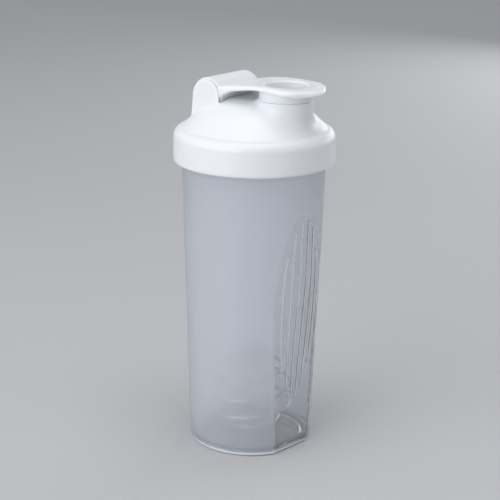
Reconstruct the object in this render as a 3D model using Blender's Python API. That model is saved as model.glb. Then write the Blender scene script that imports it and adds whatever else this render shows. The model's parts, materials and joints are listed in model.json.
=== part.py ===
"""Protein shaker bottle: frosted cup, screw lid with spout and hinge ears, flip cap, gasket and wire whisk.

Metres, +Z up. The origin is the centre of the base, on the ground. The spout faces -Y, and the flip cap's
hinge lies along X at +Y. The lid screws on a right-hand two-start thread.
"""

import math

import bmesh
import bpy
from mathutils import Matrix, Vector

MM = 0.001

# Cup
CUP_BASE_RADIUS = 34.8 * MM
CUP_TOP_RADIUS = 40.2 * MM
CUP_TAPER_END = 164.3 * MM
CUP_HEIGHT = 180.3 * MM
CUP_WALL = 1.8 * MM
FOOT_FILLET = 2.7 * MM
FOOT_WIDTH = 2.5 * MM
FOOT_RECESS = 1.5 * MM
FLOOR_TOP = 3.5 * MM
FLOOR_CENTRE = 0.6
CUP_INNER_LEVELS = (20, 45, 70, 90, 110, 140)
CUP_OUTER_LEVELS = (150, 140, 137, 134, 131, 127, 121, 115, 108, 100, 90, 80, 70, 60, 50, 44, 38, 32, 27, 20)
FOOT_LEVEL = 10.0 * MM

# Grip panels: two flattened, ribbed panels, one below the spout and one opposite
GRIP_TURN = math.radians(-4.5)
FACET_BASE = 32.0 * MM
FACET_LEAN = 0.0149
FACET_FULL_Z = 20.0 * MM
FACET_END_Z = 110.0 * MM
PANEL_HALF = math.radians(27.8)
PANEL_CENTRE_Z = 84.0 * MM
PANEL_HALF_HEIGHT = 56.0 * MM
RIB_PITCH = math.radians(8.2)
RIBS_PER_SIDE = 3
RIB_HALF = math.radians(1.2)
RIB_HEIGHT = 0.6 * MM
RIB_FADE = 4.0 * MM

# Screw thread
THREAD_LEAD = 8.0 * MM
THREAD_STARTS = 2
CUP_THREAD_Z = 168.6 * MM
CUP_THREAD_SWEEP = math.radians(260.0)
CUP_THREAD_CREST = 41.6 * MM
LID_THREAD_DROP = 2.0 * MM
LID_THREAD_SWEEP = math.radians(190.0)
LID_THREAD_CREST = 40.6 * MM
THREAD_STEP = math.radians(10.0)
THREAD_ROOT_HALF = 0.85 * MM
THREAD_CREST_HALF = 0.4 * MM
THREAD_END_SHARE = 0.25
THREAD_END_STEPS = 2.0

# Lid
LID_RADIUS = 45.0 * MM
LID_BOTTOM = 164.3 * MM
LID_BORE = 42.0 * MM
LID_WALL = 2.4 * MM
SKIRT_FILLET = 1.8 * MM
SHOULDER_RADIUS = 5.6 * MM
SHOULDER_CENTRE_Z = 178.2 * MM
SHOULDER_END = math.radians(78.0)
CONE_FOOT = (40.3 * MM, 183.85 * MM)
DOME_RADIUS = 35.4 * MM
DOME_CENTRE = (9.0 * MM, 164.6 * MM)
DOME_START = math.radians(50.5)
CEILING_Z = 182.2 * MM
HOLLOW_FOOT_Z = 184.4 * MM
LIP_OUTER = 37.7 * MM
LIP_INNER = 36.4 * MM
LIP_BOTTOM = 177.5 * MM

# Gasket
GASKET_INNER = 38.0 * MM
GASKET_OUTER = 41.1 * MM
GASKET_BOTTOM = 180.6 * MM
GASKET_TOP = 181.9 * MM
GASKET_EDGE = 0.3 * MM

# Spout
SPOUT_Y = -21.3 * MM
SPOUT_RADIUS = 15.0 * MM
SPOUT_LIP_RADIUS = 14.7 * MM
SPOUT_BORE = 13.3 * MM
SPOUT_STEP_Z = 201.5 * MM
SPOUT_TOP = 207.5 * MM
MOUTH_CHAMFER = (0.6 * MM, 1.2 * MM)

# Hinge
HINGE_Y = 20.2 * MM
HINGE_Z = 200.3 * MM
BARREL_RADIUS = 10.2 * MM
BARREL_HALF = 17.0 * MM
EAR_RADIUS = 9.3 * MM
EAR_INNER = 17.3 * MM
EAR_OUTER = 18.8 * MM
EAR_FOOT_Z = 184.0 * MM
EAR_FOOT_REAR = 31.0 * MM
EAR_CLEARANCE = 0.4 * MM
POCKET_RADIUS = 10.6 * MM
POCKET_WALL = 2.0 * MM
PIN_RADIUS = 2.5 * MM
PIN_LENGTH = 0.8 * MM
SOCKET_RADIUS = 2.6 * MM
SOCKET_DEPTH = 1.1 * MM

# Flip cap, with its side's (y, z) lines and its plan's (half width, y) line in millimetres
CAP_TOP_LINE = (
    (12.9, 207.35), (11.8, 206.9), (8.0, 207.4), (4.0, 208.2), (-1.0, 208.85), (-6.0, 209.35), (-11.0, 209.7),
    (-16.0, 209.9), (-21.0, 209.95), (-26.0, 209.85), (-31.0, 209.6), (-36.0, 209.2), (-40.5, 208.9),
)
CAP_UNDER_LINE = (
    (-38.0, 206.3), (-33.0, 206.4), (-29.5, 206.6), (-26.0, 207.0), (-22.0, 207.4), (-15.0, 207.6),
    (-11.8, 207.5), (-8.2, 207.0), (-4.4, 206.4), (-0.5, 205.75), (3.0, 205.0), (5.6, 203.9), (8.3, 202.3),
    (9.7, 200.9), (11.5, 200.6),
)
CAP_PLAN_LINE = (
    (18.9, 10.0), (19.2, 4.0), (19.6, -2.0), (19.2, -9.0), (18.6, -16.0), (18.3, -23.0), (18.0, -30.0),
    (17.3, -33.0), (16.0, -35.3), (14.1, -37.4), (12.0, -39.1), (9.9, -40.7), (7.8, -42.0), (4.2, -44.0),
    (1.6, -44.8),
)
CAP_TIP_Y = -45.0 * MM
CAP_TIP_TOP = 208.6 * MM
CAP_TIP_UNDERSIDE = 206.3 * MM
CAP_UNDERSIDE = 207.9 * MM
CAP_REAR_Y = 11.8 * MM
LIP_SWEEP = math.radians(90.0)
LIP_INSIDE = 16.2 * MM
LIP_FOOT = 19.5 * MM
LIP_BROW = 21.0 * MM
LIP_UNDERSIDE = 205.3 * MM
PLUG_RADIUS = 13.0 * MM
PLUG_WAIST = 12.3 * MM
PLUG_WAIST_TOP = 202.0 * MM
PLUG_SHOULDER = 206.4 * MM
PLUG_BOTTOM = 197.0 * MM
DISH_RADIUS = 11.5 * MM
DISH_FLOOR = 198.6 * MM

# Whisk ball
BALL_RADIUS = 25.0 * MM
WIRE_RADIUS = 1.0 * MM
BALL_TURNS = 5.5
BALL_POLE = math.radians(12.0)
BALL_STEPS_PER_TURN = 30
BALL_GAP = 0.3 * MM

# Facets round a full circle
LID_SEGMENTS = 48
SMALL_SEGMENTS = 40
PIN_SEGMENTS = 24
PLAIN_WALL_STEPS = 15

OVERLAP = 0.4 * MM
BEYOND = 2.0 * MM


def clear_scene():
    for obj in list(bpy.data.objects):
        bpy.data.objects.remove(obj, do_unlink=True)


def material(name, colour, roughness, metallic=0.0, transmission=0.0):
    """A Principled material with the given finish."""
    made = bpy.data.materials.new(name)
    made.use_nodes = True
    shader = made.node_tree.nodes["Principled BSDF"]
    shader.inputs["Base Color"].default_value = (*colour, 1.0)
    shader.inputs["Roughness"].default_value = roughness
    shader.inputs["Metallic"].default_value = metallic
    shader.inputs["Transmission Weight"].default_value = transmission
    return made


def polar(angle, radius, z):
    """The point at an angle about +Z, counted from -Y towards +X."""
    return Vector((radius * math.sin(angle), -radius * math.cos(angle), z))


def even_angles(count):
    return [2.0 * math.pi * i / count for i in range(count)]


def arc(centre, radius, start, end, steps):
    """Points of an arc in a profile's (radius, height) plane."""
    points = []
    for i in range(steps + 1):
        angle = start + (end - start) * i / steps
        points.append((centre[0] + radius * math.cos(angle), centre[1] + radius * math.sin(angle)))
    return points


def mesh_object(name, build, finish=None):
    """An object whose mesh is filled by build(bmesh), shaded smooth with sharp edges kept."""
    work = bmesh.new()
    build(work)
    bmesh.ops.recalc_face_normals(work, faces=work.faces)
    mesh = bpy.data.meshes.new(name)
    work.to_mesh(mesh)
    work.free()
    mesh.shade_smooth()
    mesh.set_sharp_from_angle(angle=math.radians(35.0))
    obj = bpy.data.objects.new(name, mesh)
    bpy.context.collection.objects.link(obj)
    if finish:
        mesh.materials.append(finish)
    return obj


def loft(name, rings, finish=None, ring_shaped=False):
    """A closed body through rings of points: its ends are capped, or joined when it is ring_shaped."""

    def build(work):
        loops = [[work.verts.new(point) for point in ring] for ring in rings]
        pairs = list(zip(loops, loops[1:]))
        if ring_shaped:
            pairs.append((loops[-1], loops[0]))
        else:
            work.faces.new(loops[0])
            work.faces.new(loops[-1])
        for low, high in pairs:
            for i, corner in enumerate(low):
                j = (i + 1) % len(low)
                work.faces.new((corner, low[j], high[j], high[i]))

    return mesh_object(name, build, finish)


def turned(name, profile, segments, finish=None, centre_y=0.0, ring_shaped=False):
    """A body turned about the vertical axis at y = centre_y from (radius, height) points."""
    shift = Vector((0.0, centre_y, 0.0))
    rings = [[polar(a, r, z) + shift for a in even_angles(segments)] for r, z in profile]
    return loft(name, rings, finish, ring_shaped)


def slab(name, outline, low_x, high_x):
    """A plate between two x values with a (y, z) outline."""
    rings = [[Vector((x, y, z)) for y, z in outline] for x in (low_x, high_x)]
    return loft(name, rings)


def hinge_cylinder(name, radius, low_x, high_x, segments):
    """A cylinder on the hinge axis."""
    outline = [
        (HINGE_Y + radius * math.cos(a), HINGE_Z + radius * math.sin(a)) for a in even_angles(segments)
    ]
    return slab(name, outline, low_x, high_x)


def combine(target, other, operation):
    """Adds a Boolean to target and keeps the other body as a hidden guide."""
    other.hide_render = True
    other.display_type = "WIRE"
    modifier = target.modifiers.new(other.name, "BOOLEAN")
    modifier.operation = operation
    modifier.solver = "EXACT"
    modifier.object = other


def move_origin(obj, point):
    """Puts the object's origin at a point and leaves its shape where it is."""
    obj.data.transform(Matrix.Translation(-point))
    obj.location = point


def smoothstep(value):
    value = min(max(value, 0.0), 1.0)
    return value * value * (3.0 - 2.0 * value)


# Cup


def cone_radius(z):
    """The cup's tapered outside without its panels."""
    share = min(z / CUP_TAPER_END, 1.0)
    return CUP_BASE_RADIUS + (CUP_TOP_RADIUS - CUP_BASE_RADIUS) * share


def panel_offset(angle):
    """The angle from the nearer grip panel's middle."""
    turned_angle = angle - GRIP_TURN
    return turned_angle - math.pi * round(turned_angle / math.pi)


def wall_radius(angle, z):
    """The cup's outside: a cone that flattens towards the base at each grip panel."""
    cone = cone_radius(z)
    offset = panel_offset(angle)
    chord = (FACET_BASE + FACET_LEAN * z) / math.cos(offset)
    weight = smoothstep((FACET_END_Z - z) / (FACET_END_Z - FACET_FULL_Z))
    return cone + (min(cone, chord) - cone) * weight


def rib_offsets():
    """The ribs' angles from the middle of their panel."""
    return [RIB_PITCH * (i + 0.5) for i in range(-RIBS_PER_SIDE, RIBS_PER_SIDE)]


def rib_rise(angle, z):
    """How far a grip rib stands out: the ribs end on a leaf-shaped outline."""
    offset = panel_offset(angle)
    rib = min(rib_offsets(), key=lambda r: abs(r - offset))
    if abs(rib - offset) > 0.5 * RIB_HALF:
        return 0.0
    half_length = PANEL_HALF_HEIGHT * math.sqrt(1.0 - (rib / PANEL_HALF) ** 2)
    return RIB_HEIGHT * smoothstep((half_length - abs(z - PANEL_CENTRE_Z)) / RIB_FADE)


def cup_angles():
    """Angles round the cup: at every rib's foot and crest, and even between the panels."""
    panel = [-PANEL_HALF, PANEL_HALF]
    for rib in rib_offsets():
        panel += [rib - RIB_HALF, rib, rib + RIB_HALF]
    panel.sort()
    angles = []
    gap = math.pi - 2.0 * PANEL_HALF
    for centre in (GRIP_TURN, GRIP_TURN + math.pi):
        angles += [centre + offset for offset in panel]
        last = angles[-1]
        angles += [last + gap * i / PLAIN_WALL_STEPS for i in range(1, PLAIN_WALL_STEPS)]
    return angles


def cup_ring(angles, z, inset, level=None):
    """One ring of the wall: its shape at height z, set in by inset, and placed at level."""
    place = z if level is None else level
    points = []
    for angle in angles:
        rise = rib_rise(angle, z) if inset == 0.0 else 0.0
        points.append(polar(angle, wall_radius(angle, z) - inset + rise, place))
    return points


def make_cup(finish):
    angles = cup_angles()
    floor_level = FLOOR_TOP + CUP_WALL
    rings = [cup_ring(angles, 0.0, CUP_BASE_RADIUS * FLOOR_CENTRE, FLOOR_TOP)]
    rings.append(cup_ring(angles, 0.0, 2.0 * CUP_WALL, FLOOR_TOP))
    for z in [floor_level] + [level * MM for level in CUP_INNER_LEVELS] + [CUP_TAPER_END]:
        rings.append(cup_ring(angles, z, CUP_WALL))
    rings.append(cup_ring(angles, CUP_HEIGHT, CUP_WALL))
    rings.append(cup_ring(angles, CUP_HEIGHT, 0.0))
    for z in [CUP_TAPER_END] + [level * MM for level in CUP_OUTER_LEVELS] + [FOOT_LEVEL, FOOT_FILLET]:
        rings.append(cup_ring(angles, z, 0.0))
    for inset, level in arc((FOOT_FILLET, FOOT_FILLET), FOOT_FILLET, math.pi, 1.5 * math.pi, 3)[1:]:
        rings.append(cup_ring(angles, 0.0, inset, level))
    rings.append(cup_ring(angles, 0.0, FOOT_FILLET + FOOT_WIDTH, 0.0))
    rings.append(cup_ring(angles, 0.0, FOOT_FILLET + FOOT_WIDTH + FOOT_RECESS, FOOT_RECESS))
    rings.append(cup_ring(angles, 0.0, CUP_BASE_RADIUS * FLOOR_CENTRE, FOOT_RECESS))
    cup = loft("cup", rings, finish)
    for start in range(THREAD_STARTS):
        turn = 2.0 * math.pi * start / THREAD_STARTS
        ridge = thread_ridge(
            f"cup_thread_{start}", CUP_TOP_RADIUS, CUP_THREAD_CREST, CUP_THREAD_Z, turn, CUP_THREAD_SWEEP
        )
        combine(cup, ridge, "UNION")
    return cup


def thread_ridge(name, root, crest, start_z, turn, sweep):
    """A helical ridge that stands from root to crest and fades into the wall at both ends."""
    inward = 1.0 if crest < root else -1.0
    steps = round(sweep / THREAD_STEP)
    rings = []
    for i in range(steps + 1):
        angle = sweep * i / steps
        z = start_z + THREAD_LEAD * angle / (2.0 * math.pi)
        from_end = min(i, steps - i)
        full = min(1.0, (from_end + THREAD_END_SHARE) / THREAD_END_STEPS)
        top = root + (crest - root) * full
        back = root + inward * OVERLAP
        section = [
            (back, z - THREAD_ROOT_HALF),
            (top, z - THREAD_CREST_HALF),
            (top, z + THREAD_CREST_HALF),
            (back, z + THREAD_ROOT_HALF),
        ]
        rings.append([polar(turn + angle, r, height) for r, height in section])
    return loft(name, rings)


# Lid


def lid_outside():
    """The lid's outer profile, from the skirt's bottom edge to the top of the dome."""
    fillet_centre = (LID_RADIUS - SKIRT_FILLET, LID_BOTTOM + SKIRT_FILLET)
    shoulder_centre = (LID_RADIUS - SHOULDER_RADIUS, SHOULDER_CENTRE_Z)
    profile = [(LID_BORE - BEYOND, LID_BOTTOM)]
    profile += arc(fillet_centre, SKIRT_FILLET, -0.5 * math.pi, 0.0, 3)
    profile += arc(shoulder_centre, SHOULDER_RADIUS, 0.0, SHOULDER_END, 6)
    profile.append(CONE_FOOT)
    profile += arc(DOME_CENTRE, DOME_RADIUS, DOME_START, 0.5 * math.pi, 6)
    return profile


def lid_inside():
    """The profile of the lid's hollow: thread bore, gasket seat, sealing lip and dome."""
    profile = [
        (LID_BORE + OVERLAP, LID_BOTTOM - BEYOND),
        (LID_BORE + OVERLAP, LID_BOTTOM + OVERLAP),
        (LID_BORE, LID_BOTTOM + 2.0 * OVERLAP),
        (LID_BORE, CEILING_Z - BEYOND),
        (LID_BORE - OVERLAP, CEILING_Z),
        (LIP_OUTER, CEILING_Z),
        (LIP_OUTER, LIP_BOTTOM),
        (LIP_INNER, LIP_BOTTOM),
        (LIP_INNER, HOLLOW_FOOT_Z),
    ]
    return profile + arc(DOME_CENTRE, DOME_RADIUS - LID_WALL, DOME_START, 0.5 * math.pi, 6)


def make_spout():
    """The drinking spout's tower, with a stepped lip round its mouth."""
    profile = [
        (SPOUT_RADIUS, CONE_FOOT[1]),
        (SPOUT_RADIUS, SPOUT_STEP_Z - OVERLAP),
        (SPOUT_LIP_RADIUS, SPOUT_STEP_Z),
        (SPOUT_LIP_RADIUS, SPOUT_TOP - OVERLAP),
        (SPOUT_LIP_RADIUS - OVERLAP, SPOUT_TOP),
    ]
    return turned("spout", profile, SMALL_SEGMENTS, centre_y=SPOUT_Y)


def make_ear(side):
    """A hinge ear: round on top, upright in front, and leaning out at the rear."""
    round_top = arc((HINGE_Y, HINGE_Z), EAR_RADIUS, 0.0, math.pi, 16)
    outline = [(HINGE_Y - EAR_RADIUS, EAR_FOOT_Z), (EAR_FOOT_REAR, EAR_FOOT_Z)] + round_top
    low, high = sorted((side * EAR_INNER, side * EAR_OUTER))
    return slab(f"ear_{'right' if side > 0 else 'left'}", outline, low, high)


def make_bore():
    """The spout's bore, which widens to a chamfer at the mouth."""
    widening, depth = MOUTH_CHAMFER
    profile = [
        (SPOUT_BORE, CEILING_Z + OVERLAP),
        (SPOUT_BORE, SPOUT_TOP - depth),
        (SPOUT_BORE + widening, SPOUT_TOP),
        (SPOUT_BORE + widening, SPOUT_TOP + BEYOND),
    ]
    return turned("spout_bore", profile, SMALL_SEGMENTS, centre_y=SPOUT_Y)


def make_lid(finish):
    lid = turned("lid", lid_outside(), LID_SEGMENTS, finish)
    combine(lid, make_spout(), "UNION")
    for side in (-1.0, 1.0):
        combine(lid, make_ear(side), "UNION")
    hollow = turned("lid_hollow", lid_inside(), LID_SEGMENTS)
    boss_half = EAR_OUTER - OVERLAP
    boss = hinge_cylinder("pocket_boss", POCKET_RADIUS + POCKET_WALL, -boss_half, boss_half, SMALL_SEGMENTS)
    combine(hollow, boss, "DIFFERENCE")
    combine(lid, hollow, "DIFFERENCE")
    combine(lid, make_bore(), "DIFFERENCE")
    pocket = hinge_cylinder("barrel_pocket", POCKET_RADIUS, -EAR_INNER, EAR_INNER, SMALL_SEGMENTS)
    combine(lid, pocket, "DIFFERENCE")
    reach = EAR_INNER + SOCKET_DEPTH
    combine(lid, hinge_cylinder("pin_sockets", SOCKET_RADIUS, -reach, reach, PIN_SEGMENTS), "DIFFERENCE")
    for start in range(THREAD_STARTS):
        turn = 2.0 * math.pi * start / THREAD_STARTS
        start_z = CUP_THREAD_Z - LID_THREAD_DROP
        ridge = thread_ridge(
            f"lid_thread_{start}", LID_BORE, LID_THREAD_CREST, start_z, turn, LID_THREAD_SWEEP
        )
        combine(lid, ridge, "UNION")
    return lid


def make_gasket(finish):
    inner_flat, outer_flat = GASKET_INNER + GASKET_EDGE, GASKET_OUTER - GASKET_EDGE
    low, high = GASKET_BOTTOM + GASKET_EDGE, GASKET_TOP - GASKET_EDGE
    profile = [
        (GASKET_INNER, low),
        (inner_flat, GASKET_BOTTOM),
        (outer_flat, GASKET_BOTTOM),
        (GASKET_OUTER, low),
        (GASKET_OUTER, high),
        (outer_flat, GASKET_TOP),
        (inner_flat, GASKET_TOP),
        (GASKET_INNER, high),
    ]
    return turned("lid_gasket", profile, LID_SEGMENTS, finish, ring_shaped=True)


# Flip cap


def in_metres(line):
    return [(across * MM, along * MM) for across, along in line]


def cap_side_outline():
    """The cap seen from the side: a valley off the barrel, a crowned plate and an arch under the arm."""
    outline = [(HINGE_Y, HINGE_Z + BARREL_RADIUS - OVERLAP)]
    outline += in_metres(CAP_TOP_LINE)
    outline += [(CAP_TIP_Y - BEYOND, CAP_TIP_TOP), (CAP_TIP_Y - BEYOND, CAP_TIP_UNDERSIDE)]
    outline += in_metres(CAP_UNDER_LINE)
    outline.append((HINGE_Y, HINGE_Z - OVERLAP))
    return outline


def cap_plan_outline():
    """The cap seen from above: between the ears, then as wide as them, then a blunt point."""
    between_ears = BARREL_HALF - 0.25 * OVERLAP
    half = [(between_ears, HINGE_Y), (between_ears, CAP_REAR_Y), (CAP_PLAN_LINE[0][0] * MM, CAP_REAR_Y)]
    half += in_metres(CAP_PLAN_LINE)
    return half + [(0.0, CAP_TIP_Y)] + [(-x, y) for x, y in reversed(half)]


def make_thumb_lip():
    """The down-turned lip under the front of the plate, where a thumb pushes the cap open."""
    steps = 10
    sections = []
    brow_z = CAP_UNDERSIDE + OVERLAP
    corners = [
        (LIP_INSIDE, LIP_UNDERSIDE),
        (LIP_FOOT, LIP_UNDERSIDE),
        (LIP_BROW, brow_z),
        (LIP_INSIDE, brow_z),
    ]
    for i in range(steps + 1):
        angle = LIP_SWEEP * (i / steps - 0.5)
        sections.append([polar(angle, r, z) + Vector((0.0, SPOUT_Y, 0.0)) for r, z in corners])
    return loft("thumb_lip", sections)


def make_plug():
    """The hollow plug's outside: narrow below, so that it swings clear of the spout's mouth."""
    profile = [
        (PLUG_WAIST - 2.0 * OVERLAP, PLUG_BOTTOM),
        (PLUG_WAIST, PLUG_BOTTOM + 3.0 * OVERLAP),
        (PLUG_WAIST, PLUG_WAIST_TOP),
        (PLUG_RADIUS, PLUG_SHOULDER),
        (PLUG_RADIUS, CAP_UNDERSIDE + OVERLAP),
    ]
    return turned("cap_plug", profile, SMALL_SEGMENTS, centre_y=SPOUT_Y)


def make_dish():
    """The hollow in the cap's top, which reaches down into the plug."""
    profile = [
        (DISH_RADIUS - 2.0 * BEYOND, DISH_FLOOR),
        (DISH_RADIUS - 0.5 * BEYOND, DISH_FLOOR + BEYOND),
        (DISH_RADIUS - OVERLAP, CAP_UNDERSIDE + OVERLAP),
        (DISH_RADIUS, CAP_UNDERSIDE + 2.0 * BEYOND),
    ]
    return turned("cap_dish", profile, SMALL_SEGMENTS, centre_y=SPOUT_Y)


def make_ear_rooms():
    """Two short cylinders on the hinge axis that keep the cap's shoulders clear of the ears."""
    radius = EAR_RADIUS + EAR_CLEARANCE
    rooms = []
    for side in (-1.0, 1.0):
        low, high = sorted((side * BARREL_HALF, side * (EAR_OUTER + BEYOND)))
        name = f"ear_room_{'right' if side > 0 else 'left'}"
        rooms.append(hinge_cylinder(name, radius, low, high, SMALL_SEGMENTS))
    return rooms


def make_flip_cap(finish):
    half_width = EAR_OUTER + BEYOND
    cap = slab("flip_cap", cap_side_outline(), -half_width, half_width)
    cap.data.materials.append(finish)
    levels = (HINGE_Z - 2.0 * BARREL_RADIUS, HINGE_Z + 2.0 * BARREL_RADIUS)
    plan = loft("cap_plan", [[Vector((x, y, z)) for x, y in cap_plan_outline()] for z in levels])
    combine(cap, plan, "INTERSECT")
    for room in make_ear_rooms():
        combine(cap, room, "DIFFERENCE")
    mouth_room = [(SPOUT_LIP_RADIUS + OVERLAP, PLUG_BOTTOM), (SPOUT_LIP_RADIUS + OVERLAP, CAP_UNDERSIDE)]
    combine(cap, turned("mouth_room", mouth_room, SMALL_SEGMENTS, centre_y=SPOUT_Y), "DIFFERENCE")
    barrel = hinge_cylinder("cap_barrel", BARREL_RADIUS, -BARREL_HALF, BARREL_HALF, SMALL_SEGMENTS)
    combine(cap, barrel, "UNION")
    reach = EAR_INNER + PIN_LENGTH
    combine(cap, hinge_cylinder("cap_pins", PIN_RADIUS, -reach, reach, PIN_SEGMENTS), "UNION")
    combine(cap, make_thumb_lip(), "UNION")
    combine(cap, make_plug(), "UNION")
    combine(cap, make_dish(), "DIFFERENCE")
    move_origin(cap, Vector((0.0, HINGE_Y, HINGE_Z)))
    return cap


# Whisk ball


def ball_point(turns):
    """A point of the wire after a number of turns, from the lower pole to the upper."""
    share = turns / BALL_TURNS
    latitude = BALL_POLE + (math.pi - 2.0 * BALL_POLE) * share
    radius = BALL_RADIUS - WIRE_RADIUS
    return polar(2.0 * math.pi * turns, radius * math.sin(latitude), -radius * math.cos(latitude))


def make_ball(finish):
    """One wire wound from pole to pole round a sphere, standing on the cup's floor."""
    curve = bpy.data.curves.new("whisk_ball", "CURVE")
    curve.dimensions = "3D"
    curve.bevel_depth = WIRE_RADIUS
    curve.bevel_resolution = 1
    curve.use_fill_caps = True
    count = round(BALL_TURNS * BALL_STEPS_PER_TURN) + 1
    spline = curve.splines.new("POLY")
    spline.points.add(count - 1)
    for i, point in enumerate(spline.points):
        point.co = (*ball_point(i / BALL_STEPS_PER_TURN), 1.0)
    curve.materials.append(finish)
    ball = bpy.data.objects.new("whisk_ball", curve)
    lowest = -ball_point(0.0).z + WIRE_RADIUS
    ball.location = (0.0, 0.0, FLOOR_TOP + BALL_GAP + lowest)
    bpy.context.collection.objects.link(ball)
    return ball


def main():
    clear_scene()
    make_cup(material("frosted_plastic", (0.72, 0.76, 0.84), 0.45, transmission=0.6))
    white = material("white_plastic", (0.88, 0.90, 0.93), 0.3)
    make_lid(white)
    make_flip_cap(white)
    make_gasket(material("silicone", (0.80, 0.81, 0.82), 0.6))
    make_ball(material("stainless_wire", (0.70, 0.70, 0.70), 0.2, metallic=1.0))


main()
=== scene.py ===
"""Looks of the shaker bottle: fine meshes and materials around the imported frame, floor, light and camera."""

import json
import math

import bpy
import numpy as np
from mathutils import Matrix, Vector


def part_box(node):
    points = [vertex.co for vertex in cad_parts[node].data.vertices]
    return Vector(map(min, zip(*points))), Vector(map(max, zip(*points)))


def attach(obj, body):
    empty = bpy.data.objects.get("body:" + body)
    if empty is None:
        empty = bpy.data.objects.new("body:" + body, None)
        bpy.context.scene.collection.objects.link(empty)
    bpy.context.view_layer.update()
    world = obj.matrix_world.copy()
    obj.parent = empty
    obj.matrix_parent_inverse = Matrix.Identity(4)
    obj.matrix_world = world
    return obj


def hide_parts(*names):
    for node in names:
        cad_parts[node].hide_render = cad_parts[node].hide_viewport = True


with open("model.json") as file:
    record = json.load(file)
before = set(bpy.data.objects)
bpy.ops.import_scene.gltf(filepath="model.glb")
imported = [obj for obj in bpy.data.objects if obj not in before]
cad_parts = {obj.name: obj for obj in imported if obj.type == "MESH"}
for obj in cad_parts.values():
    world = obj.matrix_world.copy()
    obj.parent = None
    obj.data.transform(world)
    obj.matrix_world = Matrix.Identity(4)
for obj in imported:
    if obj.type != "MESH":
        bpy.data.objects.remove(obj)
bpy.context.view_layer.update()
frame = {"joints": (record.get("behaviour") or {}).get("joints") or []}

MM = 0.001
TAU = 2.0 * math.pi


def in_mm(node):
    """A CAD node's lowest and highest corners in millimetres."""
    low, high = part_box(node)
    return np.array(low) / MM, np.array(high) / MM


def joint_place(name):
    """A joint's point in millimetres."""
    found = next(j for j in frame["joints"] if j["name"] == name)
    return np.array(found["pos_m"]) / MM


# Sizes read from the frame, in millimetres
LID_LOW, LID_HIGH = in_mm("lid")
CAP_LOW, CAP_HIGH = in_mm("flip_cap")
GASKET_LOW, GASKET_HIGH = in_mm("lid_gasket")
BALL_LOW, BALL_HIGH = in_mm("whisk_ball")
HINGE_Y, HINGE_Z = joint_place("cap_hinge")[1:]
LID_BOTTOM = LID_LOW[2]
LID_RADIUS = LID_HIGH[0]
CUP_HEIGHT = in_mm("cup")[1][2]

# Cup, in millimetres and radians
CUP_BASE_RADIUS = 34.8
CUP_TOP_RADIUS = 40.2
CUP_WALL = 1.8
FOOT_FILLET = 2.7
FOOT_WIDTH = 2.5
FOOT_RECESS = 1.5
FLOOR_TOP = 3.5
FLOOR_FILLET = 3.0
RIM_FILLET = 0.6
GRIP_TURN = math.radians(-4.5)
FACET_BASE = 32.0
FACET_LEAN = 0.0149
FACET_FULL_Z = 20.0
FACET_END_Z = 110.0
LEAF_HALF = math.radians(27.0)
LEAF_CENTRE_Z = 84.0
LEAF_HALF_HEIGHT = 56.0
LEAF_EDGE = 3.2
RIB_PITCH = math.radians(8.2)
RIBS_PER_SIDE = 3
RIB_HALF_WIDTH = 0.8
RIB_HEIGHT = 0.4
RIB_FADE = 4.0
RIB_BEND = 0.22
WALL_FROST = 0.7

# Screw thread
THREAD_LEAD = 8.0
THREAD_STARTS = 2
THREAD_HALF = 0.85
CUP_THREAD_Z = 168.6
CUP_THREAD_SWEEP = math.radians(260.0)
CUP_THREAD_CREST = 41.6
LID_THREAD_DROP = 2.0
LID_THREAD_SWEEP = math.radians(190.0)
LID_THREAD_CREST = 40.6
THREAD_FADE = math.radians(14.0)

# Lid
LID_BORE = 42.0
LID_WALL = 2.4
SKIRT_FILLET = 1.8
SHOULDER_RADIUS = 5.6
SHOULDER_CENTRE_Z = 178.2
SHOULDER_END = math.radians(78.0)
CONE_FOOT = (40.3, 183.85)
HOLLOW_FOOT_Z = 184.4
DOME_RADIUS = 35.4
DOME_CENTRE = (9.0, 164.6)
DOME_START = math.radians(50.5)
CEILING_Z = 182.2
LIP_OUTER = 37.7
LIP_INNER = 36.4
LIP_BOTTOM = 177.5
SPOUT_Y = -21.3
SPOUT_RADIUS = 15.0
SPOUT_LIP_RADIUS = 14.7
SPOUT_BORE = 13.3
SPOUT_STEP_Z = 201.4
SPOUT_TOP = 207.5
SPOUT_BLEND = 4.0
SPOUT_LIP_EDGE = 0.65
TOWER_ROOT = 8.0
EAR_RADIUS = 9.3
EAR_INNER = 17.3
EAR_OUTER = 18.8
EAR_FOOT_REAR = 31.0
EAR_FOOT_Z = 184.0
EAR_CLEARANCE = 0.3
POCKET_RADIUS = 10.6
POCKET_WALL = 2.0
SOCKET_RADIUS = 2.6
SOCKET_DEPTH = 0.6

# Rounding of the white mouldings' edges, from crisp to soft
FINE_EDGE = 0.3
EDGE = 0.8
SOFT_EDGE = 1.0

# Gasket
GASKET_WIDTH = 3.1
GASKET_EDGE = 0.35

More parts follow.
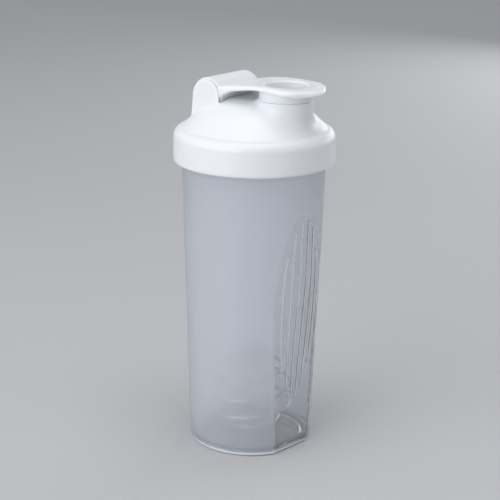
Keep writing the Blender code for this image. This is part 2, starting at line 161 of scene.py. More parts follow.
# Flip cap
BARREL_RADIUS = 10.2
BARREL_HALF = 17.0
PIN_RADIUS = 2.5
PIN_LENGTH = 0.3
CAP_TOP_LINE = (
    (15.0, 207.9), (12.6, 207.0), (11.0, 206.95), (8.0, 207.4), (4.0, 208.2), (-1.0, 208.85), (-6.0, 209.35),
    (-11.0, 209.7), (-16.0, 209.9), (-21.0, 209.95), (-26.0, 209.85), (-31.0, 209.6), (-36.0, 209.2),
    (-40.5, 208.9), (-47.0, 208.5),
)
CAP_UNDER_LINE = (
    (-47.0, 206.3), (-38.0, 206.3), (-33.0, 206.4), (-29.5, 206.6), (-26.0, 207.0), (-22.0, 207.4),
    (-15.0, 207.6), (-11.8, 207.5), (-8.2, 207.0), (-4.4, 206.4), (-0.5, 205.75), (3.0, 205.0), (5.6, 203.9),
    (8.3, 202.3), (9.7, 200.9), (11.5, 200.6),
)
CAP_PLAN_LINE = (
    (18.9, 11.8), (19.0, 8.0), (19.2, 4.0), (19.6, -2.0), (19.2, -9.0), (18.6, -16.0), (18.3, -23.0),
    (18.0, -30.0), (17.3, -33.0), (16.0, -35.3), (14.1, -37.4), (12.0, -39.1), (9.9, -40.7), (7.8, -42.0),
    (4.2, -44.0), (1.6, -44.8), (0.0, -45.0),
)
CAP_REAR_Y = 11.8
CAP_UNDERSIDE = 207.9
CAP_EDGE = 1.6
LIP_SWEEP = math.radians(90.0)
LIP_INSIDE = 16.2
LIP_FOOT = 19.5
LIP_LEAN = 0.5
CAP_LIP_UNDERSIDE = 205.3
PLUG_RADIUS = 13.0
PLUG_WAIST = 12.3
PLUG_WAIST_TOP = 202.0
PLUG_SHOULDER = 206.4
PLUG_BOTTOM = 197.0
DISH_RADIUS = 11.5
DISH_FLOOR = 198.6

# Whisk ball
WIRE_RADIUS = 1.0
BALL_TURNS = 5.5
BALL_POLE = math.radians(12.0)
BALL_STEPS_PER_TURN = 72
WIRE_SIDES = 14


# Mesh tools


def smoothstep(value):
    value = np.clip(value, 0.0, 1.0)
    return value * value * (3.0 - 2.0 * value)


def new_piece(name, points, faces, body, finish, replaced=()):
    """A smooth-shaded mesh piece, given in millimetres, that rides on a body and stands for CAD nodes."""
    mesh = bpy.data.meshes.new(name)
    mesh.from_pydata((np.asarray(points, float) * MM).tolist(), [], faces)
    mesh.validate()
    mesh.shade_smooth()
    mesh.materials.append(finish)
    piece = bpy.data.objects.new(name, mesh)
    bpy.context.scene.collection.objects.link(piece)
    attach(piece, body)
    if replaced:
        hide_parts(*replaced)
    return piece


def grid_faces(rows, columns, ring_shaped=False):
    """Quads between closed rings of points, listed row by row."""
    last = rows if ring_shaped else rows - 1
    faces = []
    for i in range(last):
        low, high = i * columns, ((i + 1) % rows) * columns
        for j in range(columns):
            k = (j + 1) % columns
            faces.append((low + j, low + k, high + k, high + j))
    return faces


def arc(centre, radius, start, end, steps):
    """Points of an arc in a plane."""
    angles = np.linspace(start, end, steps + 1)
    return [(centre[0] + radius * math.cos(a), centre[1] + radius * math.sin(a)) for a in angles]


def curve_through(points, steps):
    """A smooth line through points, by Catmull-Rom segments."""
    line = []
    padded = [points[0], *points, points[-1]]
    for a, b, c, d in zip(padded, padded[1:], padded[2:], padded[3:]):
        a, b, c, d = (np.array(p, float) for p in (a, b, c, d))
        for i in range(steps):
            t = i / steps
            line.append(
                tuple(
                    0.5
                    * (
                        2.0 * b
                        + (c - a) * t
                        + (2.0 * a - 5.0 * b + 4.0 * c - d) * t**2
                        + (3.0 * b - a - 3.0 * c + d) * t**3
                    )
                )
            )
    return [*line, tuple(points[-1])]


def turned_rings(profile, segments, centre_y=0.0):
    """Points of a profile of (radius, height) turned about a vertical axis."""
    angles = np.linspace(0.0, TAU, segments, endpoint=False)
    profile = np.array(profile)
    x = profile[:, :1] * np.sin(angles)
    y = centre_y - profile[:, :1] * np.cos(angles)
    z = np.repeat(profile[:, 1:], segments, axis=1)
    return np.stack([x, y, z], -1).reshape(-1, 3)


# Distance fields: negative inside the plastic. They are joined with rounded corners and then meshed


def outline_field(outline):
    """The signed distance to a closed polygon in a plane, as a function of two coordinates."""
    a = np.array(outline, float)
    b = np.roll(a, -1, axis=0)
    cell = 0.15
    low = a.min(0) - 8.0
    count = np.ceil((a.max(0) + 8.0 - low) / cell).astype(int) + 2
    u = (low[0] + cell * np.arange(count[0]))[:, None]
    v = (low[1] + cell * np.arange(count[1]))[None, :]
    nearest = np.full((count[0], count[1]), 1e9)
    inside = np.zeros((count[0], count[1]), bool)
    for (au, av), (bu, bv) in zip(a, b):
        du, dv = bu - au, bv - av
        share = np.clip(((u - au) * du + (v - av) * dv) / (du * du + dv * dv + 1e-12), 0.0, 1.0)
        nearest = np.minimum(nearest, (u - au - share * du) ** 2 + (v - av - share * dv) ** 2)
        if av != bv:
            crosses = (av > v) != (bv > v)
            inside ^= crosses & (u < au + (v - av) / (bv - av) * du)
    table = np.sqrt(nearest) * np.where(inside, -1.0, 1.0)

    def field(p, q):
        s = np.clip((p - low[0]) / cell, 0.0, count[0] - 1.001)
        t = np.clip((q - low[1]) / cell, 0.0, count[1] - 1.001)
        i, j = s.astype(int), t.astype(int)
        s, t = s - i, t - j
        near = table[i, j] * (1.0 - s) + table[i + 1, j] * s
        far = table[i, j + 1] * (1.0 - s) + table[i + 1, j + 1] * s
        return near * (1.0 - t) + far * t

    return field


def join(a, b, rounding):
    """The union of two fields with a fillet between them."""
    overlap = np.clip(rounding - np.abs(a - b), 0.0, None) / rounding
    return np.minimum(a, b) - overlap * overlap * rounding / 4.0


def meet(a, b, rounding):
    """The part in both fields, its edge rounded."""
    return -join(-a, -b, rounding)


def cut(a, b, rounding):
    """The first field without the second, its edge rounded."""
    return meet(a, -b, rounding)


def slab_field(value, low, high):
    return np.maximum(low - value, value - high)


def mesh_field(field, low, high, step):
    """The surface where a field is zero: one point per crossed cell, drawn onto the surface, and quads."""
    axes = [np.arange(l, h + step, step) for l, h in zip(low, high)]
    x, y, z = np.meshgrid(*axes, indexing="ij", sparse=True)
    values = field(x, y, z)
    shape = np.array(values.shape) - 1
    total = np.zeros((*shape, 3))
    count = np.zeros(shape, np.int8)
    quads = []
    number = np.arange(shape.prod()).reshape(shape)
    for axis in range(3):
        ahead = [slice(None)] * 3
        behind = [slice(None)] * 3
        ahead[axis], behind[axis] = slice(1, None), slice(None, -1)
        start, end = values[tuple(behind)], values[tuple(ahead)]
        crossed = (start < 0.0) != (end < 0.0)
        at = np.argwhere(crossed)
        share = start[crossed] / (start[crossed] - end[crossed])
        place = at.astype(float)
        place[:, axis] += share
        others = [k for k in range(3) if k != axis]
        inner = np.ones(len(at), bool)
        for k in others:
            inner &= (at[:, k] > 0) & (at[:, k] < shape[k])
        at, place, falling = at[inner], place[inner], (start[crossed] < 0.0)[inner]
        corners = []
        for d0, d1 in ((1, 1), (0, 1), (0, 0), (1, 0)):
            cell = at.copy()
            cell[:, others[0]] -= d0
            cell[:, others[1]] -= d1
            np.add.at(total, tuple(cell.T), place)
            np.add.at(count, tuple(cell.T), 1)
            corners.append(number[tuple(cell.T)])
        corners = np.stack(corners, -1)
        flip = falling if axis != 1 else ~falling
        corners[~flip] = corners[~flip][:, ::-1]
        quads.append(corners)
    used = count > 0
    points = total[used] / count[used][:, None] * step + np.array([a[0] for a in axes])
    renumber = np.full(number.size, -1)
    renumber[number[used]] = np.arange(len(points))
    faces = renumber[np.concatenate(quads)]
    return draw_onto(field, points, step), faces.tolist()


def draw_onto(field, points, step):
    """Moves points along the field's slope until they lie on its zero surface."""
    nudge = 0.05
    start = points.copy()
    for _ in range(3):
        value = field(*points.T)
        slope = np.stack(
            [
                field(*(points + shift).T) - field(*(points - shift).T)
                for shift in nudge * np.eye(3)
            ],
            -1,
        ) / (2.0 * nudge)
        size = np.maximum((slope**2).sum(-1), 0.25)
        points = points - (value / size)[:, None] * slope
    return start + np.clip(points - start, -0.6 * step, 0.6 * step)


# Materials


def node(tree, kind, **inputs):
    """Adds a shader node and sets or links its inputs by name."""
    made = tree.nodes.new(kind)
    for name, value in inputs.items():
        socket = made.inputs[name.replace("_", " ")]
        if isinstance(value, bpy.types.NodeSocket):
            tree.links.new(value, socket)
        else:
            socket.default_value = value
    return made


def noise(tree, scale, detail=3.0):
    """Noise in the object's own space, which is in metres."""
    place = tree.nodes.new("ShaderNodeTexCoord").outputs["Object"]
    return node(tree, "ShaderNodeTexNoise", Vector=place, Scale=scale, Detail=detail).outputs["Fac"]


def between(tree, value, low, high):
    """Maps a value that runs from 0 to 1 onto a range."""
    ranged = node(tree, "ShaderNodeMapRange", Value=value)
    ranged.inputs["To Min"].default_value = low
    ranged.inputs["To Max"].default_value = high
    return ranged.outputs["Result"]


def mixed_colour(tree, share, low, high):
    mixer = tree.nodes.new("ShaderNodeMix")
    mixer.data_type = "RGBA"
    tree.links.new(share, mixer.inputs["Factor"])
    mixer.inputs["A"].default_value = (*low, 1.0)
    mixer.inputs["B"].default_value = (*high, 1.0)
    return mixer.outputs["Result"]


def new_material(name):
    made = bpy.data.materials.new(name)
    made.use_nodes = True
    return made, made.node_tree, made.node_tree.nodes["Principled BSDF"]


def set_inputs(tree, shader, **inputs):
    for name, value in inputs.items():
        socket = shader.inputs[name.replace("_", " ")]
        if isinstance(value, bpy.types.NodeSocket):
            tree.links.new(value, socket)
        else:
            socket.default_value = value


def bumped(tree, height, strength, distance):
    made = node(tree, "ShaderNodeBump", Height=height, Strength=strength, Distance=distance)
    return made.outputs["Normal"]


def white_plastic(name, glow, depth):
    """Satin white polypropylene with faint mottling and moulded grain: light spreads inside it to a depth."""
    made, tree, shader = new_material(name)
    colour = mixed_colour(tree, noise(tree, 60.0), (0.85, 0.87, 0.895), (0.88, 0.895, 0.915))
    grain = noise(tree, 2600.0, 2.0)
    set_inputs(
        tree,
        shader,
        Base_Color=colour,
        Roughness=between(tree, noise(tree, 220.0), 0.30, 0.40),
        IOR=1.49,
        Subsurface_Weight=glow,
        Subsurface_Scale=depth,
        Normal=bumped(tree, grain, 0.05, 0.0002),
    )
    shader.inputs["Subsurface Radius"].default_value = (1.0, 1.0, 1.0)
    return made


def ranged(tree, value, start, end, low, high):
    """Maps a value between start and end onto low to high, and holds it at the ends."""
    made = between(tree, value, low, high).node
    made.inputs["From Min"].default_value = start
    made.inputs["From Max"].default_value = end
    return made.outputs["Result"]


def frosted_plastic():
    """Natural polypropylene: polished where the attribute is 0, frosted at 0.7 and milky white at 1; the milky
    white on the ribs' crests is a painted highlight.
    """
    made, tree, shader = new_material("frosted_plastic")
    frost_and_rib_highlight = node(tree, "ShaderNodeAttribute")
    frost_and_rib_highlight.attribute_name = "frost_and_rib_highlight"
    frost_and_rib_highlight = frost_and_rib_highlight.outputs["Fac"]
    haze = between(tree, noise(tree, 90.0), 0.29, 0.34)
    rough = node(tree, "ShaderNodeMix", Factor=ranged(tree, frost_and_rib_highlight, 0.0, WALL_FROST, 0.0, 1.0))
    rough.inputs["A"].default_value = 0.05
    tree.links.new(haze, rough.inputs["B"])
    clear = ranged(tree, frost_and_rib_highlight, 0.0, WALL_FROST, 0.84, 0.70)
    # Towards 1 less light passes through and the plastic turns milky white; on the ribs' crests this is a
    # painted highlight.
    milk_and_rib_highlight = ranged(tree, frost_and_rib_highlight, WALL_FROST, 1.0, 0.0, 0.60)
    clear = node(tree, "ShaderNodeMath", Value=clear)
    clear.operation = "SUBTRACT"
    tree.links.new(milk_and_rib_highlight, clear.inputs[1])
    set_inputs(
        tree,
        shader,
        Base_Color=mixed_colour(tree, frost_and_rib_highlight, (0.95, 0.965, 0.99), (0.885, 0.925, 1.0)),
        Roughness=rough.outputs["Result"],
        IOR=1.45,
        Transmission_Weight=clear.outputs["Value"],
    )
    return made


def silicone():
    """Soft translucent grey-white silicone."""
    made, tree, shader = new_material("silicone")
    set_inputs(
        tree,
        shader,
        Base_Color=mixed_colour(tree, noise(tree, 150.0), (0.70, 0.71, 0.72), (0.78, 0.79, 0.80)),
        Roughness=between(tree, noise(tree, 400.0), 0.5, 0.65),
        Subsurface_Weight=0.3,
        Subsurface_Scale=0.001,
    )
    return made


def stainless_wire():
    """Drawn stainless wire with faint streaks and patches of wear."""
    made, tree, shader = new_material("stainless_wire")
    set_inputs(
        tree,
        shader,
        Base_Color=mixed_colour(tree, noise(tree, 300.0), (0.62, 0.62, 0.63), (0.76, 0.76, 0.77)),
        Metallic=1.0,
        Roughness=between(tree, noise(tree, 800.0), 0.12, 0.24),
        Normal=bumped(tree, noise(tree, 4000.0, 1.0), 0.06, 0.0001),
    )
    return made


# Cup


def panel_offset(angle):
    """The angle from the nearer grip panel's middle."""
    turned_angle = angle - GRIP_TURN
    return turned_angle - math.pi * np.round(turned_angle / math.pi)


def cone_radius(z):
    """The cup's tapered outside without its panels."""
    share = np.minimum(z / LID_BOTTOM, 1.0)
    return CUP_BASE_RADIUS + (CUP_TOP_RADIUS - CUP_BASE_RADIUS) * share


def wall_radius(offset, z):
    """The cup's outside at an angle from a panel's middle: a cone flattened towards the base."""
    cone = cone_radius(z)
    chord = (FACET_BASE + FACET_LEAN * z) / np.cos(offset)
    weight = smoothstep((FACET_END_Z - z) / (FACET_END_Z - FACET_FULL_Z))
    return cone + (np.minimum(cone, chord) - cone) * weight


def leaf_inset(offset, z):
    """How far a point lies inside the polished window: a half ellipse above the facet's two edges."""
    cone = cone_radius(z)
    across = offset / LEAF_HALF
    up = (z - LEAF_CENTRE_Z) / LEAF_HALF_HEIGHT
    slope = np.hypot(2.0 * across / (LEAF_HALF * cone), 2.0 * up / LEAF_HALF_HEIGHT)
    above = (1.0 - across**2 - up**2) / np.maximum(slope, 1e-3)
    edge = np.minimum(np.arccos(np.clip((FACET_BASE + FACET_LEAN * z) / cone, -1.0, 1.0)), LEAF_HALF)
    below = (edge - np.abs(offset)) * cone
    return np.where(up > 0.0, above, below)


def rib_shape(offset, z):
    """From 0 to 1 across the grip ribs, which bend inwards and end inside the window's outline."""
    shape = np.zeros(np.broadcast(offset, z).shape)
    for i in range(-RIBS_PER_SIDE, RIBS_PER_SIDE):
        rib = RIB_PITCH * (i + 0.5)
        half_length = LEAF_HALF_HEIGHT * math.sqrt(1.0 - (rib / LEAF_HALF) ** 2)
        height = np.abs(z - LEAF_CENTRE_Z)
        middle = rib * (1.0 - RIB_BEND * np.minimum(height / half_length, 1.0) ** 3)
        across = (offset - middle) * cone_radius(z) / RIB_HALF_WIDTH
        ends = smoothstep((half_length - height) / RIB_FADE)
        shape += np.clip(1.0 - across**2, 0.0, None) ** 1.5 * ends
    return shape


def ridge_height(angle, z, start_z, sweep, crest):
    """Height of the thread at an angle about the axis: helical ridges that fade out at both ends."""
    height = np.zeros(np.broadcast(angle, z).shape)
    for start in range(THREAD_STARTS):
        along = np.mod(angle - TAU * start / THREAD_STARTS, TAU)
        ends = smoothstep(np.minimum(along, sweep - along) / THREAD_FADE)
        off = np.abs(z - start_z - THREAD_LEAD * along / TAU) / THREAD_HALF
        height = np.maximum(height, crest * ends * smoothstep((1.15 - off) / 0.6))
    return height


def cup_angles():
    """Angles round the cup, closer together across the grip panels."""
    fine = np.radians(np.arange(-30.0, 30.0, 0.35))
    coarse = np.radians(np.arange(30.0, 150.0, 2.0))
    half = np.concatenate([fine, coarse]) + GRIP_TURN
    return np.concatenate([half, half + math.pi])


def cup_outside(angles, z):
    """Radii of one level of the outer wall."""
    offset = panel_offset(angles)
    radius = wall_radius(offset, z)
    radius = radius + RIB_HEIGHT * rib_shape(offset, z)
    return radius + ridge_height(
        angles, z, CUP_THREAD_Z, CUP_THREAD_SWEEP, CUP_THREAD_CREST - CUP_TOP_RADIUS
    )


def make_cup(finish):
    """The cup, as rings from the middle of its floor up the inside, over the rim and down to the base."""
    angles = cup_angles()
    offset = panel_offset(angles)
    base = wall_radius(offset, np.zeros_like(angles))
    rings = []

    def ring(radius, z, frost_and_rib_highlight=0.0):
        rings.append((radius * np.ones_like(angles), z, frost_and_rib_highlight * np.ones_like(angles)))

    ring(base - 0.75 * CUP_BASE_RADIUS, FLOOR_TOP)
    ring(base - 0.4 * CUP_BASE_RADIUS, FLOOR_TOP)
    corner = (CUP_WALL + FLOOR_FILLET, FLOOR_TOP + FLOOR_FILLET)
    for inset, z in arc(corner, FLOOR_FILLET, -0.5 * math.pi, -math.pi, 8):
        ring(base - inset, z)
    for z in np.arange(9.0, CUP_HEIGHT - RIM_FILLET, 3.0):
        ring(wall_radius(offset, z) - CUP_WALL, z)
    rim_z = CUP_HEIGHT - RIM_FILLET
    rim_inside = CUP_TOP_RADIUS - CUP_WALL + RIM_FILLET
    for radius, z in arc((rim_inside, rim_z), RIM_FILLET, math.pi, 0.5 * math.pi, 5):
        ring(radius, z)
    for radius, z in arc((CUP_TOP_RADIUS - RIM_FILLET, rim_z), RIM_FILLET, 0.5 * math.pi, 0.0, 5):
        ring(radius, z, WALL_FROST)
    levels = [*np.arange(179.0, 166.0, -0.3), *np.arange(166.0, 143.0, -2.0), *np.arange(143.0, 20.0, -0.5)]
    levels += [*np.arange(20.0, FOOT_FILLET, -1.0), FOOT_FILLET]
    for z in levels:
        frost_and_rib_highlight = WALL_FROST * (1.0 - smoothstep(leaf_inset(offset, z) / LEAF_EDGE + 0.5))
        # The ribs' crests are raised to full milky white: a painted highlight along each rib.
        ring(cup_outside(angles, z), z, np.maximum(frost_and_rib_highlight, rib_shape(offset, z) ** 2))
    for inset, z in arc((FOOT_FILLET, FOOT_FILLET), FOOT_FILLET, math.pi, 1.5 * math.pi, 8)[1:]:
        ring(base - inset, z, 1.0)
    foot_inside = FOOT_FILLET + FOOT_WIDTH
    ring(base - foot_inside + 0.4, 0.0, 1.0)
    ring(base - foot_inside, 0.15, 1.0)
    ring(base - foot_inside - FOOT_RECESS + 0.3, FOOT_RECESS - 0.15)
    ring(base - foot_inside - FOOT_RECESS, FOOT_RECESS)
    ring(base - 0.6 * CUP_BASE_RADIUS, FOOT_RECESS)
    ring(base - 0.75 * CUP_BASE_RADIUS, FOOT_RECESS)

    points = np.concatenate(
        [np.stack([r * np.sin(angles), -r * np.cos(angles), np.full_like(r, z)], -1) for r, z, _ in rings]
    )
    columns = len(angles)
    faces = grid_faces(len(rings), columns)
    faces.append(tuple(range(columns))[::-1])
    faces.append(tuple(range(len(points) - columns, len(points))))
    faces = [face[::-1] for face in faces]
    cup = new_piece("cup_shell", points, faces, "cup_body", finish, ["cup"])
    # Per-point finish, which also carries the painted highlight on the ribs' crests.
    frost_and_rib_highlight = cup.data.attributes.new("frost_and_rib_highlight", "FLOAT", "POINT")
    frost_and_rib_highlight.data.foreach_set("value", np.concatenate([f for _, _, f in rings]).astype(np.float32))
    return cup


# Lid


def lid_fields():
    """Turned outlines of the lid's outside and of its hollow."""
    fillet_centre = (LID_RADIUS - SKIRT_FILLET, LID_BOTTOM + SKIRT_FILLET)
    shoulder_centre = (LID_RADIUS - SHOULDER_RADIUS, SHOULDER_CENTRE_Z)
    outside = [(-20.0, LID_BOTTOM)]
    outside += arc(fillet_centre, SKIRT_FILLET, -0.5 * math.pi, 0.0, 8)
    outside += arc(shoulder_centre, SHOULDER_RADIUS, 0.0, SHOULDER_END, 24)
    outside.append(CONE_FOOT)
    dome = arc(DOME_CENTRE, DOME_RADIUS, DOME_START, 0.5 * math.pi, 24)
    outside += dome + [(-20.0, dome[-1][1])]
    inside = [(-20.0, LID_BOTTOM - 6.0), (LID_BORE, LID_BOTTOM - 6.0), (LID_BORE, CEILING_Z - 2.0)]
    inside += [(LID_BORE - 0.6, CEILING_Z), (LIP_OUTER, CEILING_Z), (LIP_OUTER, LIP_BOTTOM)]
    inside += [(LIP_INNER, LIP_BOTTOM), (LIP_INNER, HOLLOW_FOOT_Z)]
    ceiling = arc(DOME_CENTRE, DOME_RADIUS - LID_WALL, DOME_START, 0.5 * math.pi, 24)
    inside += ceiling + [(-20.0, ceiling[-1][1])]
    return outline_field(outside), outline_field(inside)


def lid_field():
    """The lid as one field: dome and skirt, spout tower, ears, then its hollow, bore, pocket and thread."""
    outside, inside = lid_fields()
    round_top = arc((HINGE_Y, HINGE_Z), EAR_RADIUS, 0.0, math.pi, 40)
    ear_outline = [(HINGE_Y - EAR_RADIUS, EAR_FOOT_Z), (EAR_FOOT_REAR, EAR_FOOT_Z), *round_top]
    ear = outline_field(ear_outline)

    def field(x, y, z):
        radius = np.sqrt(x * x + y * y) + 0.0 * z
        height = z + 0.0 * radius
        angle = np.arctan2(x, -y)
        tower_radius = np.sqrt(x * x + (y - SPOUT_Y) ** 2)
        hinge_radius = np.sqrt((y - HINGE_Y) ** 2 + (z - HINGE_Z) ** 2)
        body = outside(radius, height)
        tower_height = slab_field(z, CONE_FOOT[1] - TOWER_ROOT, SPOUT_STEP_Z)
        tower = np.maximum(tower_radius - SPOUT_RADIUS, tower_height)
        body = join(body, tower, SPOUT_BLEND)
        ears = ear(y + 0.0 * hinge_radius, z + 0.0 * hinge_radius)
        ears = meet(ears, slab_field(np.abs(x), EAR_INNER, EAR_OUTER), SOFT_EDGE)
        body = join(body, ears, EDGE)
        boss = np.maximum(hinge_radius - POCKET_RADIUS - POCKET_WALL, np.abs(x) - EAR_OUTER + 0.4)
        hollow = cut(inside(radius, height), boss, SOFT_EDGE)
        body = cut(body, hollow, EDGE)
        bore = np.maximum(tower_radius - SPOUT_BORE, CEILING_Z + 0.4 - z)
        body = cut(body, bore, FINE_EDGE)
        pocket = np.maximum(hinge_radius - POCKET_RADIUS, np.abs(x) - EAR_INNER)
        body = cut(body, pocket, 0.6)
        socket = np.maximum(hinge_radius - SOCKET_RADIUS, np.abs(x) - EAR_INNER - SOCKET_DEPTH)
        body = cut(body, socket, FINE_EDGE)
        crest = ridge_height(
            angle, z, CUP_THREAD_Z - LID_THREAD_DROP, LID_THREAD_SWEEP, LID_BORE - LID_THREAD_CREST
        )
        thread = np.maximum(LID_BORE - crest - radius, radius - LID_BORE - 1.0)
        return join(body, np.where(crest > 0.05, thread, 1.0), 0.4)

    return field


def make_lid(finish):
    step = 0.45
    margin = 2.0 * step
    points, faces = mesh_field(lid_field(), LID_LOW - margin, LID_HIGH + margin, step)
    return new_piece("lid_shell", points, faces, "lid_body", finish, ["lid"])


def make_spout_lip(finish):
    """The stepped drinking lip on top of the spout's tower."""
    low = SPOUT_STEP_Z
    groove = SPOUT_LIP_RADIUS - 0.5
    rounding = SPOUT_LIP_EDGE
    profile = [(SPOUT_BORE, low - 0.6), (groove, low - 0.6), (groove, low + 0.1)]
    profile += arc((SPOUT_LIP_RADIUS - 0.35, low + 0.45), 0.35, -0.5 * math.pi, 0.0, 4)
    profile += arc((SPOUT_LIP_RADIUS - rounding, SPOUT_TOP - rounding), rounding, 0.0, 0.5 * math.pi, 7)
    profile += arc((SPOUT_BORE + rounding, SPOUT_TOP - rounding), rounding, 0.5 * math.pi, math.pi, 7)
    segments = 160
    points = turned_rings(profile, segments, SPOUT_Y)
    faces = grid_faces(len(profile), segments, ring_shaped=True)
    return new_piece("spout_lip", points, faces, "lid_body", finish)


def make_gasket(finish):
    """The sealing ring, with rounded corners."""
    inner, outer = GASKET_HIGH[0] - GASKET_WIDTH, GASKET_HIGH[0]
    low, high = GASKET_LOW[2], GASKET_HIGH[2]
    r = GASKET_EDGE
    profile = arc((outer - r, low + r), r, -0.5 * math.pi, 0.0, 4)
    profile += arc((outer - r, high - r), r, 0.0, 0.5 * math.pi, 4)
    profile += arc((inner + r, high - r), r, 0.5 * math.pi, math.pi, 4)
    profile += arc((inner + r, low + r), r, math.pi, 1.5 * math.pi, 4)
    segments = 180
    points = turned_rings(profile, segments)
    faces = grid_faces(len(profile), segments, ring_shaped=True)
    return new_piece("gasket_ring", points, faces, "gasket_body", finish, ["lid_gasket"])


# Flip cap


def cap_side_outline():
    """The cap from the side, as (y, z): valley off the barrel, crowned plate and arch under the arm."""
    outline = [(HINGE_Y, HINGE_Z + BARREL_RADIUS - 1.0)] + curve_through(CAP_TOP_LINE, 5)
    return outline + curve_through(CAP_UNDER_LINE, 5) + [(HINGE_Y, HINGE_Z - 0.4)]


def cap_plan_outline():
    """The cap from above, as (x, y): between the ears, then as wide as them, then a blunt point."""
    between_ears = BARREL_HALF - 0.1
    half = [(between_ears, HINGE_Y), (between_ears, CAP_REAR_Y)] + curve_through(CAP_PLAN_LINE, 5)
    return half + [(-x, y) for x, y in reversed(half[:-1])]


def dish_outline():
    """Half the section of the dish in the cap's top, as (radius, z): a bowl with a flat floor."""
    high = CAP_UNDERSIDE + 8.0
    floor_end, bowl = DISH_RADIUS - 5.4, 4.6
    outline = [(-9.0, DISH_FLOOR), (floor_end, DISH_FLOOR)]
    outline += arc((floor_end, DISH_FLOOR + bowl), bowl, -0.5 * math.pi, 0.0, 12)
    return outline + [(DISH_RADIUS - 0.2, CAP_UNDERSIDE), (DISH_RADIUS + 0.4, high), (-9.0, high)]


def cap_field():
    side = outline_field(cap_side_outline())
    plan = outline_field(cap_plan_outline())
    dish_side = outline_field(dish_outline())

    def field(x, y, z):
        hinge_radius = np.sqrt((y - HINGE_Y) ** 2 + (z - HINGE_Z) ** 2)
        disc_radius = np.sqrt(x * x + (y - SPOUT_Y) ** 2)
        everywhere = 0.0 * x + 0.0 * y + 0.0 * z
        body = meet(side(y + everywhere, z + everywhere), plan(x + everywhere, y + everywhere), CAP_EDGE)
        ear_room = np.maximum(hinge_radius - EAR_RADIUS - EAR_CLEARANCE, BARREL_HALF - np.abs(x))
        body = cut(body, ear_room, FINE_EDGE)
        mouth_room = np.maximum(disc_radius - SPOUT_LIP_RADIUS - 0.4, z - CAP_UNDERSIDE)
        body = cut(body, mouth_room, FINE_EDGE)
        barrel = meet(hinge_radius - BARREL_RADIUS, np.abs(x) - BARREL_HALF, EDGE)
        body = join(body, barrel, EDGE)
        front = np.abs(np.arctan2(x, SPOUT_Y - y)) - 0.5 * LIP_SWEEP
        lip_face = LIP_FOOT + LIP_LEAN * (z - CAP_LIP_UNDERSIDE)
        ring = meet(disc_radius - lip_face, LIP_INSIDE - disc_radius, 0.6)
        ring = meet(ring, slab_field(z, CAP_LIP_UNDERSIDE, CAP_UNDERSIDE + 0.8), SOFT_EDGE)
        body = join(body, meet(ring, front * disc_radius, 1.2), SOFT_EDGE)
        share = np.clip((z - PLUG_WAIST_TOP) / (PLUG_SHOULDER - PLUG_WAIST_TOP), 0.0, 1.0)
        plug = disc_radius - PLUG_WAIST - (PLUG_RADIUS - PLUG_WAIST) * share
        body = join(body, meet(plug, slab_field(z, PLUG_BOTTOM, CAP_UNDERSIDE + 0.6), 1.2), FINE_EDGE)
        body = cut(body, dish_side(disc_radius + everywhere, z + everywhere), 1.6)
        pins = np.maximum(hinge_radius - PIN_RADIUS, np.abs(x) - EAR_INNER - PIN_LENGTH)
        return join(body, pins, FINE_EDGE)

    return field


def make_flip_cap(finish):
    step = 0.35
    margin = 2.0 * step
    points, faces = mesh_field(cap_field(), CAP_LOW - margin, CAP_HIGH + margin, step)
    return new_piece("flip_cap_shell", points, faces, "cap_body", finish, ["flip_cap"])


# Whisk ball


def ball_line():
    """Centreline of the wire about the ball's middle, from the lower pole to the upper."""
    radius = 0.5 * (BALL_HIGH[0] - BALL_LOW[0]) - WIRE_RADIUS
    turns = np.linspace(0.0, BALL_TURNS, round(BALL_TURNS * BALL_STEPS_PER_TURN) + 1)
    latitude = BALL_POLE + (math.pi - 2.0 * BALL_POLE) * turns / BALL_TURNS
    level = radius * np.sin(latitude)
    angle = TAU * turns
    return np.stack([level * np.sin(angle), -level * np.cos(angle), -radius * np.cos(latitude)], -1)


def tube(line, radius, sides):
    """A tube round a line with rounded ends: points and faces."""
    along = np.gradient(line, axis=0)
    along /= np.linalg.norm(along, axis=1)[:, None]
    outward = line / np.linalg.norm(line, axis=1)[:, None]
    outward -= (outward * along).sum(1)[:, None] * along
    outward /= np.linalg.norm(outward, axis=1)[:, None]
    across = np.cross(along, outward)
    rings = []
    around = np.linspace(0.0, TAU, sides, endpoint=False)[:, None]

    def ring(i, shift, size):
        centre = line[i] + along[i] * shift
        rings.append(centre + size * (np.cos(around) * outward[i] + np.sin(around) * across[i]))

    for lean in np.radians([80.0, 55.0, 28.0]):
        ring(0, -radius * math.sin(lean), radius * math.cos(lean))
    for i in range(len(line)):
        ring(i, 0.0, radius)
    for lean in np.radians([28.0, 55.0, 80.0]):
        ring(-1, radius * math.sin(lean), radius * math.cos(lean))
    faces = grid_faces(len(rings), sides)
    total = len(rings) * sides
    faces += [tuple(range(sides))[::-1], tuple(range(total - sides, total))]
    return np.concatenate(rings), faces


def make_ball(finish):
    points, faces = tube(ball_line(), WIRE_RADIUS, WIRE_SIDES)
    points = points + 0.5 * (BALL_LOW + BALL_HIGH)
    return new_piece("whisk_wire", points, faces, "ball_body", finish, ["whisk_ball"])


# Surroundings

CAMERA_AZIMUTH = math.radians(-51.5)
CAMERA_ELEVATION = math.radians(16.74)
CAMERA_ROLL = math.radians(0.85)
CAMERA_DISTANCE = 0.8471
CAMERA_LENS = 107.5
AIM_HEIGHT = 0.112
AIM_LEFT = 0.0016


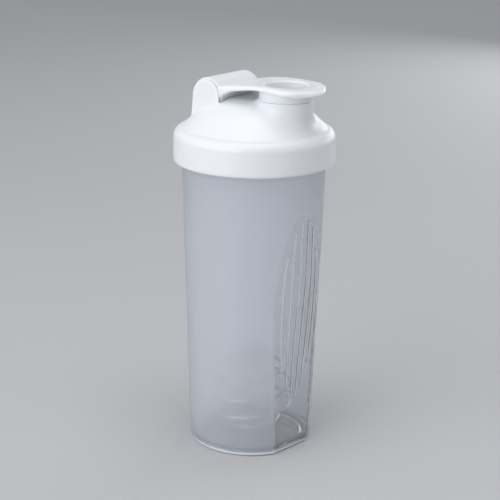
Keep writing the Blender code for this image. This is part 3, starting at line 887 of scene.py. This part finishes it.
def make_camera():
    """A long lens on the spout's left front, a little above, as the bottle is seen in its picture."""
    data = bpy.data.cameras.new("camera")
    data.lens = CAMERA_LENS
    data.sensor_width = 36.0
    camera = bpy.data.objects.new("camera", data)
    bpy.context.scene.collection.objects.link(camera)
    right = Vector((math.cos(CAMERA_AZIMUTH), math.sin(CAMERA_AZIMUTH), 0.0))
    back = Vector(
        (
            math.sin(CAMERA_AZIMUTH) * math.cos(CAMERA_ELEVATION),
            -math.cos(CAMERA_AZIMUTH) * math.cos(CAMERA_ELEVATION),
            math.sin(CAMERA_ELEVATION),
        )
    )
    up = back.cross(right)
    turn = Matrix.Rotation(CAMERA_ROLL, 3, back)
    axes = Matrix((turn @ right, turn @ up, back)).transposed()
    aim = Vector((0.0, 0.0, AIM_HEIGHT)) - AIM_LEFT * right
    camera.matrix_world = Matrix.Translation(aim + CAMERA_DISTANCE * back) @ axes.to_4x4()
    bpy.context.scene.camera = camera


def make_floor():
    """A pale, level floor that reaches far beyond the view."""
    made, tree, shader = new_material("pale_floor")
    colour = mixed_colour(tree, noise(tree, 3.0), (0.55, 0.55, 0.56), (0.57, 0.57, 0.58))
    set_inputs(tree, shader, Base_Color=colour, Roughness=0.8)
    mesh = bpy.data.meshes.new("floor")
    reach = 12.0
    mesh.from_pydata(
        [(-reach, -reach, 0.0), (reach, -reach, 0.0), (reach, reach, 0.0), (-reach, reach, 0.0)],
        [],
        [(0, 1, 2, 3)],
    )
    mesh.materials.append(made)
    floor = bpy.data.objects.new("floor", mesh)
    bpy.context.scene.collection.objects.link(floor)


def area_light(name, azimuth, elevation, distance, size, power, colour=(1.0, 1.0, 1.0)):
    """A rectangular softbox that faces the bottle from an azimuth counted from the camera's own."""
    data = bpy.data.lights.new(name, "AREA")
    data.shape = "RECTANGLE"
    data.size, data.size_y = size
    data.energy = power
    data.color = colour
    light = bpy.data.objects.new(name, data)
    angle = CAMERA_AZIMUTH + math.radians(azimuth)
    rise = math.radians(elevation)
    back = Vector((math.sin(angle) * math.cos(rise), -math.cos(angle) * math.cos(rise), math.sin(rise)))
    light.location = Vector((0.0, 0.0, AIM_HEIGHT)) + distance * back
    light.rotation_euler = back.to_track_quat("Z", "Y").to_euler()
    bpy.context.scene.collection.objects.link(light)


def make_lights():
    world = bpy.data.worlds.new("studio")
    world.use_nodes = True
    background = world.node_tree.nodes["Background"]
    background.inputs["Color"].default_value = (0.80, 0.82, 0.86, 1.0)
    background.inputs["Strength"].default_value = 0.56
    bpy.context.scene.world = world
    area_light("key", -52.0, 26.0, 1.4, (1.4, 1.2), 6.4, (0.97, 0.985, 1.0))
    area_light("low", -40.0, 9.0, 1.4, (1.1, 0.5), 4.2, (0.96, 0.98, 1.0))
    area_light("top", 10.0, 80.0, 1.2, (0.8, 0.8), 4.4)
    area_light("fill", 60.0, 25.0, 1.6, (1.2, 1.2), 0.6)
    area_light("back", 142.0, 12.0, 1.4, (1.2, 0.5), 4.0)


def main():
    white = white_plastic("white_plastic", 0.5, 0.0015)
    make_cup(frosted_plastic())
    make_lid(white)
    make_spout_lip(white)
    make_gasket(silicone())
    make_flip_cap(white_plastic("white_plastic_thin", 1.0, 0.005))
    make_ball(stainless_wire())
    make_floor()
    make_lights()
    make_camera()
    bpy.context.scene.view_settings.view_transform = "Standard"


main()
